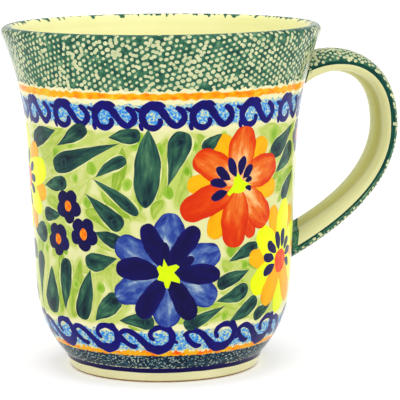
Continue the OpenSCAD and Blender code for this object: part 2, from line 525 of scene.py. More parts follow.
def linerPaint():
    # the inside: warm cream with faint turning rings
    mat, tree, skin = glaze("linerGlaze", 0.1)
    shade = ramp(tree, grain(tree, 40.0, 3.0), [(0.3, (241, 239, 171)), (0.7, (247, 245, 186))])
    tree.links.new(shade, skin.inputs["Base Color"])
    height = addNode(tree, "ShaderNodeSeparateXYZ", {0: onObject(tree)}).outputs[2]
    bumpMore(tree, skin, calc(tree, "SINE", times(tree, height, 2100.0)), 0.12, 0.00015)
    return mat


def clayPaint():
    # bare fired clay on the foot, glazed again inside the foot ring
    mat, tree, skin = glaze("footClay")
    x, y, _ = addNode(tree, "ShaderNodeSeparateXYZ", {0: onObject(tree)}).outputs
    across = calc(tree, "SQRT", calc(tree, "ADD", times(tree, x, x), times(tree, y, y)))
    bare = calc(tree, "GREATER_THAN", across, (ringIn - 0.5) * mm)
    clay = ramp(tree, grain(tree, 700.0, 4.0, rough=0.7), [(0.3, (128, 98, 60)), (0.55, (164, 130, 84)),
                                                           (0.75, (190, 158, 112))])
    tree.links.new(mixed(tree, bare, (228, 222, 178), clay), skin.inputs["Base Color"])
    gloss = skin.inputs["Roughness"].links[0].from_socket
    dull = calc(tree, "ADD", gloss, times(tree, bare, 0.65), clamp=True)
    tree.links.new(dull, skin.inputs["Roughness"])
    bumpMore(tree, skin, grain(tree, 1500.0, 3.0), times(tree, bare, 0.5), 0.0002)
    return mat


def strapPaint():
    # the handle: cream, more yellow and darker in the groove, partly from pooled glaze and partly painted
    # shade
    mat, tree, skin = glaze("handleGlaze", 0.2)
    run, side = meshValue(tree, "along"), meshValue(tree, "across")
    lane = combine(tree, times(tree, run, 5.0), times(tree, side, 60.0))
    drawn = calc(tree, "SUBTRACT", grain(tree, 1.0, 2.0, lane), 0.5)
    uneven = calc(tree, "MULTIPLY_ADD", meshValue(tree, "tone"), 0.85, times(tree, drawn, 0.7))
    pooledAndShaded = calc(tree, "ADD", uneven, 0.08, clamp=True)
    # the darker olive end stands for pooled glaze and for painted shade in the groove
    shade = ramp(tree, pooledAndShaded, [(0, (226, 223, 168)), (0.4, (212, 210, 142)), (1, (196, 190, 106))])
    tree.links.new(shade, skin.inputs["Base Color"])
    return mat


paints["handleGlaze"] = strapPaint()
print("glazes mixed")

# The cup's clay, outer coat and liner.
ringIn = cup["footRadius"] - cup["footRing"]
clayLine = [np.array(p) for p in (
    (0, cup["recess"]), (ringIn - 1, cup["recess"]), (ringIn - 0.3, cup["recess"] - 0.4), (ringIn, 0.4),
    (ringIn + 0.4, 0), (cup["footRadius"] - 0.6, 0), (cup["footRadius"] - 0.1, 0.35))]
clayLine += outsideLine(-cup["glaze"], False) + insideLine(cup["glaze"], False)[::-1]
toPiece("cupClay", toMesh("cupClay", *spin(clayLine)), clayPaint(), ["cup_body"])
innerLine = insideLine(0, True) + insideLine(cup["glaze"], False)[::-1]
toPiece("linerCoat", toMesh("linerCoat", *spin(innerLine)), linerPaint(), ["inner_glaze"])

# The painted scene, in turns and heights. A leaf or a stamen is where the brush was set down, where it left
# and the width; a petal is its tip and its width, and a red one also has its tone.
scene = {
    "leaves": [
        ((8.6, 81), (1.8, 63.8), 7, "tail"), ((-8.6, 80.2), (-22, 79.2), 5, "drop"),
        ((-51.4, 68.6), (-17, 77.4), 6.3, "club"), ((-15, 72.8), (-28.6, 66.6), 3.9, "drop"),
        ((-10.2, 55.4), (-29.6, 66), 3.7, "drop"), ((-17.4, 50.8), (-34.4, 61.2), 5.7, "tail"),
        ((-17.6, 46.2), (-29.6, 49.4), 5, "drop"), ((-35.2, 39.4), (-19.8, 41.2), 5.8, "drop"),
        ((-19.4, 29.4), (-31.6, 20.9), 6.4, "drop"), ((-4.2, 21.3), (-19.8, 21.8), 5.2, "drop"),
        ((8.8, 20), (27.8, 25.8), 4.6, "tail"), ((16.6, 75), (24.8, 79.8), 4, "drop"),
        ((23.6, 32.2), (39.8, 36.1), 4.8, "drop"), ((39.4, 30.6), (23.4, 27.2), 5, "drop"),
        ((44.2, 43.9), (28.8, 39.7), 4.4, "drop"), ((45, 26.6), (30, 19.9), 5, "drop"),
        ((44.2, 20.2), (55.6, 24.2), 4.2, "drop"), ((51.4, 71.6), (69, 80), 6, "drop"),
        ((70.4, 73.6), (55.4, 65.6), 6, "drop"), ((61, 57.2), (73.4, 65), 5, "drop"),
        ((-68, 75.4), (-48.6, 80.3), 6, "drop"), ((-31.8, 81.9), (-49, 75.2), 5, "tail"),
        ((-43.8, 63.9), (-59, 62), 4.9, "drop"), ((-60.9, 52.8), (-48.3, 53.7), 4.6, "drop"),
        ((-59.6, 46.5), (-74, 46.8), 6.6, "drop"), ((-59.4, 21), (-57.4, 36.4), 8.4, "drop"),
        ((-46, 39.8), (-48.5, 23), 5.8, "drop"), ((-39, 20.9), (-32.6, 37.2), 6.6, "drop"),
    ],
    "bigLeaf": ((-7.2, 57.4), (-5.3, 81.8), 8.5),
    "tailLeaf": ((-67.4, 40.0), (-70.2, 21.0), 6.0),
    "overLeaf": 11,
    "dabs": [
        (-11.4, 77, 1.7), (-14.8, 64.6, 1.7), (9.7, 68.8, 1.1), (2.4, 62.2, 1.6), (-1, 75.6, 1.6),
        (25.4, 79, 1.3), (-40.5, 77, 1.9), (-30.3, 69.2, 1.8), (-38.9, 65.6, 1.3), (-49.6, 72.8, 1.7),
        (-61, 41.6, 1.2), (-41, 32, 1.5), (-28, 31.8, 1.5), (-51, 34, 1.3), (-33.2, 58.4, 1.4),
        (-57.5, 48, 1.4), (52.6, 78, 2.4), (58.8, 63, 1.9), (30, 43, 1.6), (37.2, 38, 1.3),
        (13, 76.4, 1.3), (-24, 57, 1.2), (-46.6, 42.4, 1.2), (27.6, 22.6, 1.3), (-9, 79, 1.4),
    ],
    "washes": [
        ((-60, 70), (-40, 80), 6), ((-66, 80), (-52, 71), 6), ((-40, 72), (-20, 80), 5),
        ((-58, 66), (-38, 70), 5), ((-44, 62), (-28, 74), 5), ((-26, 66), (-12, 80), 6),
        ((-20, 62), (-16, 76), 5), ((-2, 60), (2, 79), 5), ((6, 58), (10, 72), 5),
        ((-12, 54), (-9, 66), 4), ((-34, 56), (-22, 50), 5), ((-26, 62), (-14, 54), 4),
        ((0, 60), (-4, 54), 4), ((14, 80), (22, 70), 4), ((44, 80), (60, 76), 7), ((48, 68), (62, 60), 6),
        ((56, 60), (74, 66), 5), ((58, 80), (76, 70), 6), ((28, 44), (44, 36), 5),
        ((26, 40), (40, 30), 5), ((22, 26), (40, 22), 6), ((30, 36), (44, 46), 4),
        ((44, 22), (58, 26), 4), ((-44, 21), (-38, 40), 5), ((-52, 22), (-50, 44), 5),
        ((-66, 24), (-62, 44), 6), ((-58, 58), (-46, 54), 5), ((-28, 44), (-22, 32), 5),
        ((-34, 20), (-28, 42), 5), ((-22, 36), (-16, 26), 5), ((-16, 20), (6, 22), 4),
        ((8, 24), (20, 20), 4), ((-72, 34), (-64, 48), 5), ((-46, 50), (-40, 44), 4),
        ((-56, 40), (-44, 46), 4), ((-40, 58), (-32, 66), 5),
    ],
    "blueMiddle": (1.1, 36.9),
    "lightPetals": [
        ((3, 55.9), 10), ((24.4, 43.6), 10), ((23, 28), 9.4), ((1.5, 19.8), 9.8), ((-20.8, 29.2), 9.8),
        ((-19.6, 47.2), 10),
    ],
    "navyPetals": [
        ((-7.6, 52.4), 6.4), ((14.4, 51.2), 6.4), ((24.8, 35.6), 6.4), ((12.6, 22.2), 6.8),
        ((-10.6, 23), 6.8), ((-20.4, 38.6), 7.2), ((0.4, 46.8), 3.2), ((13, 41.6), 3),
    ],
    "blueStar": [
        (0.2, 41.6), (1.8, 39.2), (5.4, 39.8), (6.8, 39), (4.4, 37.2), (6.8, 35.2), (7, 33.8),
        (3.2, 34.6), (2, 32.2), (0.8, 32.4), (0, 34.4), (-2.6, 35), (-1.8, 36.8), (-2.8, 38.8),
        (-1.6, 39.6), (-0.4, 39),
    ],
    "redMiddle": (33.4, 63.4),
    "redPetals": [
        ((40.8, 46.4), 5.8, 0.45), ((35.7, 81.7), 9.8, 0.85), ((54.6, 69.6), 9.8, 0.7),
        ((49.8, 50.2), 9.8, 0.75), ((7.4, 55.4), 9.6, 0.1), ((13.4, 73.6), 9.6, 0.7),
        ((30.8, 43.9), 10, 0.3),
    ],
    "amberPetals": [
        ((23.4, 79.6), 8), ((46.8, 77.4), 7.6), ((55, 61.2), 7.4), ((20.4, 47.4), 7.6), ((10, 64.4), 7.2),
    ],
    "redStamens": [
        ((28.2, 72.2), (31.6, 66), 2.9), ((35.4, 72.4), (33.4, 66.4), 2.9),
        ((39.8, 69.4), (35.2, 65.4), 2.8), ((39.8, 65.2), (36.2, 64.6), 1.9),
        ((39.6, 61.8), (36.4, 62.8), 1.7), ((22.4, 69.4), (28.8, 65.2), 3.1),
        ((19.8, 65.2), (27.4, 63.8), 3), ((20.2, 59.8), (27.6, 61.8), 3),
    ],
    "redStar": [
        (32.2, 67.4), (33.6, 66.2), (35, 64.8), (37, 64), (39.2, 63.2), (37, 62.2), (35.4, 61.2),
        (33, 60.8), (30.4, 61.2), (28.4, 60.2), (27.4, 61.2), (29, 62.4), (30.2, 63.6), (30.4, 65.4),
    ],
    "navyFlowers": [(-43.6, 56.6, 60), (-51, 45.6, 54), (-35.6, 48.2, 58)],
    "sunMiddle": (62.0, 36.8),
}

# The yellow flower is painted the same way wherever it comes: petals as (turn, height, width) from its eye,
# and how much higher an amber one lies.
sunFlower = {
    "amber": [
        (-8.2, 18.4, 6.8, 0), (11.4, 16.8, 7.2, 0), (-22.4, 3.4, 6.8, 0), (-12.4, -12.9, 7.6, 0.045),
        (10.8, -13.6, 7.6, 0.045), (20.6, 2.4, 6.2, 0),
    ],
    "yellow": [
        (-17, 11.4, 8.8), (3.2, 19.8, 8.4), (17.8, 10.4, 7), (-20.6, -7.4, 9.4), (0.6, -16.8, 8.4),
        (18, -6.6, 9),
    ],
    "stamens": [
        ((-10.8, 6.9), (-4, 3), 3.2), ((-13.4, 2.6), (-5.6, 1.2), 3.1),
        ((-13.2, -3.1), (-5.2, -0.6), 3.3), ((-4.2, 9.8), (-1.2, 3.8), 3.1),
        ((2.4, 10.2), (1.4, 4.2), 3.1), ((8.2, 7), (3.6, 3.4), 2.8), ((11.2, 3.4), (4.8, 1.6), 2.6),
        ((10.4, -2.2), (5.2, 0.2), 2.6),
    ],
    "eye": 3.9,
}
# The flower beyond the left edge of the scene is the same, with its petals set otherwise.
sideFlower = {
    "amber": [
        (15.7, 11.4, 7.2, 0), (22.1, -4.2, 7, 0), (9, -16, 6.4, 0), (-13, -12, 7, 0.045),
        (-22, 2, 6.6, 0), (-12, 14, 7, 0),
    ],
    "yellow": [
        (22.9, 4.8, 9.4), (17, -10, 7.6), (2, 17.4, 8), (-20, 9, 8.4), (-3, -17, 8), (-19, -6, 8.4),
    ],
    "stamens": [
        ((10, 5), (4.6, 2.2), 2.8), ((11.6, 0.2), (5, 0), 2.8), ((10, -4.4), (4.2, -2), 2.8),
        ((4, 9.6), (1.4, 4), 3), ((-6, 8.6), (-2.4, 3.4), 3), ((-12, 1), (-5.4, 0.4), 3),
        ((2, -9.4), (1, -4), 3), ((-8.6, -6), (-3.6, -2.6), 2.8),
    ],
    "eye": 3.9,
}
# How blunt a stroke is where it was set down, and how drawn out where it was lifted.
brushShapes = {"drop": (0.4, 1.0), "club": (0.3, 1.2), "tail": (0.36, 1.3), "blade": (0.66, 0.9)}


hand = {"slow": 0.05, "quick": 0.025, "sway": 0.12}  # how far a stroke's width and middle wander


def flat(place):
    return np.array([place[0] * flatScale, place[1]])


def unflat(spot):
    return (spot[0] / flatScale, spot[1])


def addStroke(sheet, start, end, width, lift, blunt=0.5, taper=1.0, bow=0.0, rows=20, columns=6, tone=None):
    # a single touch of a round brush: blunt where it was set down, drawn out where it was lifted
    a, b = flat(start), flat(end)
    run = b - a
    side = np.array([-run[1], run[0]]) / np.linalg.norm(run)
    peak = blunt / (blunt + taper)
    top = peak ** blunt * (1 - peak) ** taper
    wobble = rng.uniform(0, 6.28, 2)
    along = (1 - np.cos(np.linspace(0.06, math.pi - 0.04, rows))) / 2
    grid = []
    for t in along:
        half = width / 2 * t ** blunt * (1 - t) ** taper / top
        slow, quick, sway = (math.sin(beat * t + wobble[k]) for beat, k in ((9, 0), (23, 1), (7, 1)))
        half *= 1 + hand["slow"] * slow + hand["quick"] * quick
        middle = a + run * t + side * (bow * 4 * t * (1 - t) + hand["sway"] * sway)
        grid.append([unflat(middle + side * half * s) for s in np.linspace(-1, 1, columns + 1)])
    own = float(rng.uniform())
    addShell(sheet, wallPoint, grid, lift, along, even(columns), own if tone is None else tone)


def addPetal(sheet, middle, tip, width, lift, reach=0.0, blunt=0.38, taper=0.54, tone=None):
    # a petal is pressed down at its outer end and drawn in towards the flower's middle
    end = (middle[0] + (tip[0] - middle[0]) * reach, middle[1] + (tip[1] - middle[1]) * reach)
    addStroke(sheet, tip, end, width, lift, blunt, taper, float(rng.uniform(-0.4, 0.4)), 18, 8, tone)


def addPatch(sheet, outline, lift, rings=4, tone=None):
    # a filled shape that can be seen whole from its middle
    pts = np.array([flat(p) for p in outline])
    middle = pts.mean(axis=0)
    loop = []
    for a, b in zip(pts, np.roll(pts, -1, axis=0)):
        loop += [a + (b - a) * t for t in (0, 0.5)]
    shares = np.linspace(0.02, 1, rings + 1)
    grid = [[unflat(middle + (p - middle) * s) for p in loop] for s in shares]
    front, back = ([[wallPoint(t, z, away) for t, z in row] for row in grid] for away in (lift, -paintDepth))
    along = list(shares) + list(shares)[::-1]
    across = [0.5 + 0.36 * math.cos(2 * math.pi * j / len(loop)) for j in range(len(loop))]
    own = float(rng.uniform())
    addGrid(sheet, front + back[::-1], along, across, own if tone is None else tone, True, True)


def roundOutline(middle, radius, points, uneven, squash):
    turn, phase = middle[0], rng.uniform(0, 6.28)
    return [(turn + radius * (1 + uneven * math.sin(3 * a + phase)) * math.cos(a) / flatScale,
             middle[1] + squash * radius * (1 + uneven * math.sin(2 * a + phase)) * math.sin(a))
            for a in np.linspace(0, 2 * math.pi, points, endpoint=False)]


def addDab(sheet, middle, radius, lift, points=20, uneven=0.06, squash=1.0, rings=4, tone=None):
    addPatch(sheet, roundOutline(middle, radius, points, uneven, squash), lift, rings, tone)


def smoothPath(points, per=6):
    pts = np.array([flat(p[:2]) for p in points])
    pts = np.vstack([2 * pts[0] - pts[1], pts, 2 * pts[-1] - pts[-2]])
    path = []
    for i in range(1, len(pts) - 2):
        for t in np.linspace(0, 1, per, endpoint=False):
            a, b, c, d = pts[i - 1:i + 3]
            path.append(0.5 * (2 * b + (c - a) * t + (2 * a - 5 * b + 4 * c - d) * t ** 2
                               + (3 * b - a - 3 * c + d) * t ** 3))
    return np.array(path + [pts[-2]])


def addRibbon(sheet, points, lift, columns=4):
    # a line of even paint through (turn, height, width), round at both ends
    path = smoothPath(points)
    places = np.linspace(0, len(points) - 1, len(path))
    widths = np.interp(places, range(len(points)), [p[2] for p in points])
    run = np.r_[0, np.cumsum(np.linalg.norm(np.diff(path, axis=0), axis=1))]
    tangent = np.gradient(path, run, axis=0)
    tangent /= np.linalg.norm(tangent, axis=1)[:, None]
    side = np.c_[-tangent[:, 1], tangent[:, 0]]
    ends = [min(1.0, math.sqrt(max(0.0004, 1 - (1 - min(1.0, d / (w / 2))) ** 2)))
            for d, w in zip(np.minimum(run, run[-1] - run), widths)]
    phase = rng.uniform(0, 6.28)
    grid = []
    for i, p in enumerate(path):
        half = widths[i] / 2 * ends[i] * (1 + 0.07 * math.sin(1.7 * run[i] + phase))
        grid.append([unflat(p + side[i] * half * s) for s in np.linspace(-1, 1, columns + 1)])
    addShell(sheet, wallPoint, grid, lift, run / run[-1], even(columns), float(rng.uniform()))


def addBand(sheet, place, low, high, shares, lift, ragged, beat, turns=720):
    # a ring of paint whose two edges wander: ragged is how far, beat is how often round the cup
    near, far = [min(1.1 * r, (high - low) / 3) for r in ragged]  # how much moves with each edge
    rest = [0, near / (high - low), 1 - far / (high - low), 1]
    grid = []
    for t in np.linspace(0, 360, turns, endpoint=False):
        a = math.radians(t)
        edge = [min(max(2 * noise.noise(Vector((math.cos(a) * beat, math.sin(a) * beat, k))), -1), 1)
                for k in (low, high + 50)]
        stops = [low + edge[0] * ragged[0], low + near, high - far, high + edge[1] * ragged[1]]
        grid.append([(t, q) for q in np.interp(shares, rest, stops)])
    addShell(sheet, place, grid, lift, [0.5] * turns, shares, 0.5, True)


# Bands of colour round the cup: where they go, low edge, high edge, rows, lift, how far and how often the two
# edges wander, and the paint.
rimRows = np.r_[np.linspace(0, 0.7, 14), np.linspace(0.71, 1, 48)]  # close together over the lip
bands = {
    "rimSponge": (rimPoint, 93.9, crest + 1.1, rimRows, 0.02, (0.7, 1.2), 36, "spongeGreen"),
    "rimLine": (wallPoint, 90.9, 92.9, even(5), 0.02, (0.35, 0.35), 24, "lineOrange"),
    "rimBlue": (wallPoint, 82.8, 89.6, even(10), 0.012, (0.5, 0.4), 40, "spongeBlue"),
    "footBlue": (wallPoint, 11.5, 18.3, even(10), 0.012, (0.35, 0.6), 40, "spongeBlue"),
    "footLine": (wallPoint, 9.8, 11.3, even(5), 0.03, (0.2, 0.7), 44, "footOrange"),
    "footSponge": (wallPoint, 5.1, 9.9, even(7), 0.012, (0.2, 0.3), 50, "spongeDark"),
    "footNavy": (wallPoint, 3.4, 5.0, even(3), 0.03, (0.1, 0.15), 5, "navyBlue"),
}
for name, (place, low, high, shares, lift, ragged, beat, paint) in bands.items():
    sheet = startSheet()
    addBand(sheet, place, low, high, shares, lift, ragged, beat)
    sheetPiece(name, sheet, paint)
print("bands painted")

# Scrolls: strokes as (turn, height, width of line), the turns at which each repeats round the cup, and a
# height about which they are stretched by a share.
rimScroll = {
    "lift": 0.035,
    "strokes": [
        [(3, 85.3, 1), (3.8, 84.4, 1.4), (3.2, 83.2, 1.6), (1.2, 82.5, 1.7), (-1.5, 83, 1.8),
         (-3, 84.6, 1.9), (-3.2, 86.1, 2), (-2.2, 87.8, 2.3), (0.5, 89, 2.6), (3.5, 88.1, 2.3),
         (5.7, 86, 2), (7.9, 84, 1.9), (10.1, 83.1, 1.8), (12.1, 84, 1.8), (13.2, 85.4, 1.8),
         (12.6, 86.9, 1.7), (11, 88, 1.6), (9.5, 88.4, 1.3)],
        [(-3.6, 84, 1.3), (-4, 83, 1.2), (-3.2, 81.7, 0.9)],
        [(-6.4, 88.2, 0.9), (-4.2, 87.5, 1.3), (-2.6, 86.6, 1.2)],
        [(1.6, 89.7, 1.4), (3.8, 89.5, 1.2), (5.9, 88.7, 0.6)],
    ],
    "turns": [-64.4, -43.7, -23.9, -4.4, 15.3, 36.5, 58.4],
    "repeats": 18,
    "taller": (86.2, 1.08),
    "thicker": 1.12,
}
footScroll = {
    "lift": 0.04,
    "strokes": [
        [(-19.6, 16.6, 1), (-18, 17.5, 1.3), (-15.8, 18.4, 1.5), (-13.4, 18.2, 1.7), (-10.6, 17, 1.9),
         (-7.8, 15, 2.2), (-4.8, 12.9, 2.6), (-1.3, 12, 3), (2.4, 12.4, 2.8), (5, 14, 2.3),
         (5.9, 16, 2.2), (5.4, 18, 2.1), (3.2, 19.3, 1.9), (0, 19.7, 1.7), (-2.8, 18.9, 1.6),
         (-4.1, 17.4, 1.5), (-3.4, 16, 1.4), (-2, 15.4, 1.1)],
        [(-18.2, 17.2, 1.5), (-17.2, 15.6, 1.6), (-15, 13.9, 1.7), (-12.4, 13, 1.6), (-10.4, 13.4, 1.1)],
        [(2.8, 20.2, 0.8), (4.4, 19.9, 1.3), (5.4, 18.4, 1.3)],
        [(5.6, 15.2, 1.6), (7.4, 14.8, 1.2), (8.8, 14.2, 0.7)],
        [(-2.6, 11.8, 1.6), (-5, 12.1, 1.2), (-6.6, 12, 0.7)],
    ],
    "turns": [-53, -27.6, -2.2, 28.2, 54.4],
    "repeats": 15,
    "taller": (15, 1),
    "thicker": 1.1,
}


def scrollTurns(scroll):
    known = scroll["turns"]
    spare = scroll["repeats"] - len(known)
    gap = (known[0] + 360 - known[-1]) / (spare + 1)
    return known + [known[-1] + gap * (k + 1) for k in range(spare)]


for name, scroll in (("rimScrolls", rimScroll), ("footScrolls", footScroll)):
    sheet = startSheet()
    middle, grow = scroll["taller"]
    for turn in scrollTurns(scroll):
        for k, stroke in enumerate(scroll["strokes"]):
            line = [(turn + t, middle + (z - middle) * grow, w * scroll["thicker"]) for t, z, w in stroke]
            addRibbon(sheet, line, scroll["lift"] + 0.004 * k)
    sheetPiece(name, sheet, "scrollNavy")
print("scrolls painted")

# The garden of flowers and leaves: a sheet for each paint, from the watery ground up.
garnish = {
    "limeStrokes": "limeWater", "mossDabs": "mossDab", "leafHalos": "haloCream", "leaves": "leafGreen",
    "leafBeads": "leafBead", "amberPetals": "petalAmber", "bluePetals": "petalBlue",
    "yellowPetals": "petalYellow", "redPetals": "petalRed", "navyPetals": "navyBlue", "stamens": "navyBlue",
    "stars": "starYellow", "eyes": "eyeOrange", "navyFlowers": "navyBlue",
}
sheets = {name: startSheet() for name in garnish}
# How far the first stroke of a layer stands off the wall, the step from one stroke to the next, and after
# how many strokes the steps begin again.
layers = {
    "washes": (0.01, 0.0012, 12),
    "leafWater": (0.0106, 0.0012, 12),
    "dabs": (0.025, 0.0002, 99),
    "halo": (0.033, 0, 1),
    "leaves": (0.043, 0.001, 5),
    "overLeaf": (0.067, 0, 1),
    "lightPetals": (0.056, 0.003, 99),
    "navyPetals": (0.075, 0.003, 99),
    "amberPetals": (0.056, 0.0025, 99),
    "redPetals": (0.07, 0.004, 99),
    "redStamens": (0.11, 0.002, 99),
    "blueStar": (0.11, 0, 1),
    "redStar": (0.105, 0, 1),
    "sunAmber": (0.056, 0.003, 99),
    "sunYellow": (0.075, 0.003, 99),
    "sunStamens": (0.115, 0.002, 99),
    "sunEye": (0.135, 0, 1),
    "smallPetals": (0.06, 0.004, 99),
    "smallHeart": (0.085, 0, 1),
    "smallEye": (0.1, 0, 1),
}
leafSet = {"haloWidth": 0.8, "bow": 0.4, "beadAlong": 0.19, "beadSize": 0.22, "beadLift": 0.012}
smallFlower = {"petals": 5, "spread": 3.0, "petal": 2.45, "heart": 2.9, "eye": 1.4}
leafWater = {"aside": 3.2, "shift": 2.5, "length": (0.55, 1.1), "width": (2.0, 4.2), "bow": 0.8,
             "startIn": (21.5, 80.5), "endIn": (21.0, 81.0)}


def lay(layer, k=0):
    first, step, again = layers[layer]
    return first + step * (k % again)


def moved(place, turn):
    return (place[0] + turn,) + tuple(place[1:])


def addStamens(stamens, layer, turn, z, taper):
    for k, (a, b, w) in enumerate(stamens):
        start, end = (turn + a[0], z + a[1]), (turn + b[0], z + b[1])
        addStroke(sheets["stamens"], start, end, w, lay(layer, k), *taper, rows=12, columns=4)


def addSunFlower(turn, z, flower=sunFlower):
    eye = (turn, z)
    for k, (t, h, w, over) in enumerate(flower["amber"]):
        addPetal(sheets["amberPetals"], eye, (turn + t, z + h), w, lay("sunAmber", k) + over)
    for k, (t, h, w) in enumerate(flower["yellow"]):
        addPetal(sheets["yellowPetals"], eye, (turn + t, z + h), w, lay("sunYellow", k))
    addStamens(flower["stamens"], "sunStamens", turn, z, (0.5, 0.7))
    addDab(sheets["eyes"], eye, flower["eye"], lay("sunEye"), tone=0.3)


def addNavyFlower(turn, z, twist):
    for k in range(smallFlower["petals"]):
        a = math.radians(twist + 360 * k / smallFlower["petals"])
        across, rise = (smallFlower["spread"] * wave(a) for wave in (math.cos, math.sin))
        middle = (turn + across / flatScale, z + rise)
        addDab(sheets["navyFlowers"], middle, smallFlower["petal"], lay("smallPetals", k), rings=3)
    addDab(sheets["navyFlowers"], (turn, z), smallFlower["heart"], lay("smallHeart"), rings=3)
    addDab(sheets["eyes"], (turn, z), smallFlower["eye"], lay("smallEye"), 14, squash=1.3, rings=2, tone=1.0)


def addLeaf(a, b, width, lift, shape, bow=0.0, halo=leafSet["haloWidth"], **fine):
    addStroke(sheets["leafHalos"], a, b, width + halo, lay("halo"), *shape, bow)
    addStroke(sheets["leaves"], a, b, width, lift, *shape, bow, **fine)


def addBead(spot, radius, leafLift, uneven, squash=1.0):
    addDab(sheets["leafBeads"], spot, radius, leafLift + leafSet["beadLift"], 14, uneven, squash, 3)


def addLeafWater(a, b, k):
    # two watery strokes that follow a leaf, one on each side
    for side in (-1, 1):
        foot = a[1] + rng.uniform(-leafWater["shift"], leafWater["shift"])
        grow = rng.uniform(*leafWater["length"])
        start = (a[0] + side * leafWater["aside"], np.clip(foot, *leafWater["startIn"]))
        end = (start[0] + (b[0] - a[0]) * grow, np.clip(foot + (b[1] - a[1]) * grow, *leafWater["endIn"]))
        addStroke(sheets["limeStrokes"], start, end, rng.uniform(*leafWater["width"]), lay("leafWater", k),
                  0.45, 0.8, float(rng.uniform(-leafWater["bow"], leafWater["bow"])))


# The petals of the two big flowers: their sheet, their flower, how far in they end, and the brush's shape.
petalRows = {
    "lightPetals": ("bluePetals", "blueMiddle", 0.1, 0.38, 0.42),
    "navyPetals": ("navyPetals", "blueMiddle", 0.12, 0.36, 0.5),
    "amberPetals": ("amberPetals", "redMiddle", 0.0, 0.38, 0.54),
    "redPetals": ("redPetals", "redMiddle", 0.08, 0.38, 0.5),
}


def addGarden(turn):
    for k, (a, b, w, shape) in enumerate(scene["leaves"]):
        lift = lay("overLeaf") if k == scene["overLeaf"] else lay("leaves", k)
        bow = float(rng.uniform(-leafSet["bow"], leafSet["bow"]))
        addLeaf(moved(a, turn), moved(b, turn), w, lift, brushShapes[shape], bow)
        if k % 4 != 3:
            spot = [a[i] + (b[i] - a[i]) * leafSet["beadAlong"] for i in (0, 1)]
            addBead(moved(spot, turn), leafSet["beadSize"] * w, lift, 0.2)
    a, b, w = scene["bigLeaf"]
    addLeaf(moved(a, turn), moved(b, turn), w, lay("leaves"), brushShapes["blade"], halo=0.7, rows=26,
            columns=8, tone=0.95)
    addBead((a[0] + turn, a[1] + 1.6), 1.0, lay("leaves"), 0.1, 1.3)
    a, b, w = scene["tailLeaf"]
    addStroke(sheets["leaves"], moved(a, turn), moved(b, turn), w, lay("leaves"), 0.45, 2.2, -0.8)
    for row, (sheet, middle, *shape) in petalRows.items():
        heart = moved(scene[middle], turn)
        for k, (tip, w, *tone) in enumerate(scene[row]):
            addPetal(sheets[sheet], heart, moved(tip, turn), w, lay(row, k), *shape, *tone)
    addStamens(scene["redStamens"], "redStamens", turn, 0, (0.6, 0.8))
    for star in ("blueStar", "redStar"):
        addPatch(sheets["stars"], [moved(p, turn) for p in scene[star]], lay(star))
    for place in scene["navyFlowers"]:
        addNavyFlower(*moved(place, turn))
    addSunFlower(*moved(scene["sunMiddle"], turn))
    for k, (t, z, r) in enumerate(scene["dabs"]):
        addDab(sheets["mossDabs"], (t + turn, z), r, lay("dabs", k), 14, 0.12, 1.25, 3)
    for k, (a, b, w) in enumerate(scene["washes"]):
        start, end = moved(a, turn), moved(b, turn)
        addStroke(sheets["limeStrokes"], start, end, w * 0.8, lay("washes", k), 0.5, 0.7,
                  float(rng.uniform(-1, 1)))
    for k, (a, b, w, shape) in enumerate(scene["leaves"]):
        addLeafWater(moved(a, turn), moved(b, turn), k)


# The scene comes twice round the cup. Between the two stand two more flowers and some loose leaves.
garden = {
    "turns": [0.0, 166.0],
    "sideFlower": (-81.0, 63.0),
    "navyFlower": (79.0, 75.8, 40.0),
    "leafShape": (0.5, 1.1),
    "leaves": [
        ((-74, 40.6), (-86, 38), 7), ((-78, 27), (-86, 22), 5), ((-92, 26), (-100, 38), 6),
        ((-104, 70), (-112, 79), 5.6), ((-98, 82), (-110, 76), 4.6), ((88, 54), (84, 68), 5.6),
        ((92, 70), (97, 56), 5), ((88, 22), (98, 28), 5), ((84, 44), (96, 48), 5.2),
        ((122, 76), (116, 62), 6), ((104, 66), (106, 52), 5), ((112, 24), (100, 20.6), 4.6),
        ((-96, 50), (-92, 40), 4.6), ((-108, 58), (-104, 44), 5.4), ((-104, 30), (-112, 21), 5),
        ((-84, 30), (-90, 21.6), 4.4),
    ],
}
for turn in garden["turns"]:
    addGarden(turn)
addSunFlower(*garden["sideFlower"], sideFlower)
addNavyFlower(*garden["navyFlower"])
for k, (a, b, w) in enumerate(garden["leaves"]):
    addLeaf(a, b, w, lay("leaves", k), garden["leafShape"])
    addLeafWater(a, b, k)
for name, paint in garnish.items():
    sheetPiece(name, sheets[name], paint)
print("garden painted")


# The outer coat carries the watery lime ground as a value on its points.
groundWash = {
    "everywhere": 0.26,
    "stroke": 0.5,
    "leaf": 0.45,
    "leafShift": (2.5, -1.5),
    "leafWider": 1,
    "soft": 0.8,
    "edges": (19.5, 82.0, 1.5),
    "gapTurn": -110.0,
    "gapHalf": 30,
}


def softStroke(places, start, end, width):
    a, b = flat(start), flat(end)
    run = b - a
    off = places - a
    off[:, 0] = (off[:, 0] + 180 * flatScale) % (360 * flatScale) - 180 * flatScale
    t = np.clip(off @ run / (run @ run), 0, 1)
    gap = np.linalg.norm(off - t[:, None] * run, axis=1)
    half = width / 2 * (0.35 + 0.65 * np.sqrt(np.clip(4 * t * (1 - t), 0, 1)))
    return np.clip((half + groundWash["soft"] - gap) / (2 * groundWash["soft"]), 0, 1)


